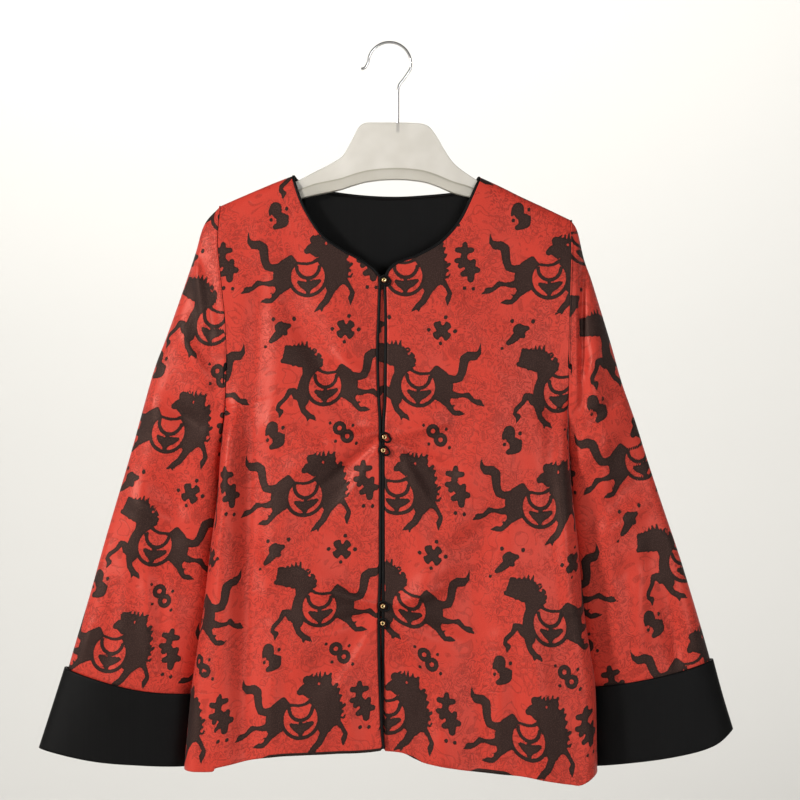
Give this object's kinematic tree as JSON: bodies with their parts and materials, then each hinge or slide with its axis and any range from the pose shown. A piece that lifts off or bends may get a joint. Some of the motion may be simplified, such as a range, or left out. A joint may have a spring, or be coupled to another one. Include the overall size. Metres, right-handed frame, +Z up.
{
  "type": "cropped jacket on a hanger",
  "caption": "Collarless cropped jacket of patterned red brocade with wide sleeves, dark turned back cuffs, bound front edges and bead closures, hung on a frosted plastic hanger.",
  "frame": {"origin": "where the hanger's hook bears: the underside of the top of its wire", "axes": "+Z up, the front of the jacket faces -Y, the wearer's left is at +X"},
  "size_m": [0.77, 0.0808, 0.8103],
  "materials": {
    "brocade": "satin brocade with dark woven motifs",
    "satin": "dull black satin",
    "binding": "black satin cord",
    "bead": "polished gold colour",
    "hanger": "frosted translucent",
    "hook": "bright"
  },
  "bodies": {
    "root": {"front_right": "brocade", "front_left": "brocade", "back": "brocade", "underlap": "brocade", "sleeve_right": "brocade", "sleeve_left": "brocade", "cuff_right": "satin", "cuff_left": "satin", "lining_back": "satin", "binding_right": "binding", "binding_left": "binding", "binding_back": "binding", "bead_1": "bead", "bead_2": "bead", "bead_3": "bead", "bead_4": "bead", "bead_5": "bead", "loop_1": "binding", "loop_2": "binding", "loop_3": "binding", "loop_4": "binding", "loop_5": "binding", "hanger": "hanger", "hook": "hook"}
  },
  "joints": []
}
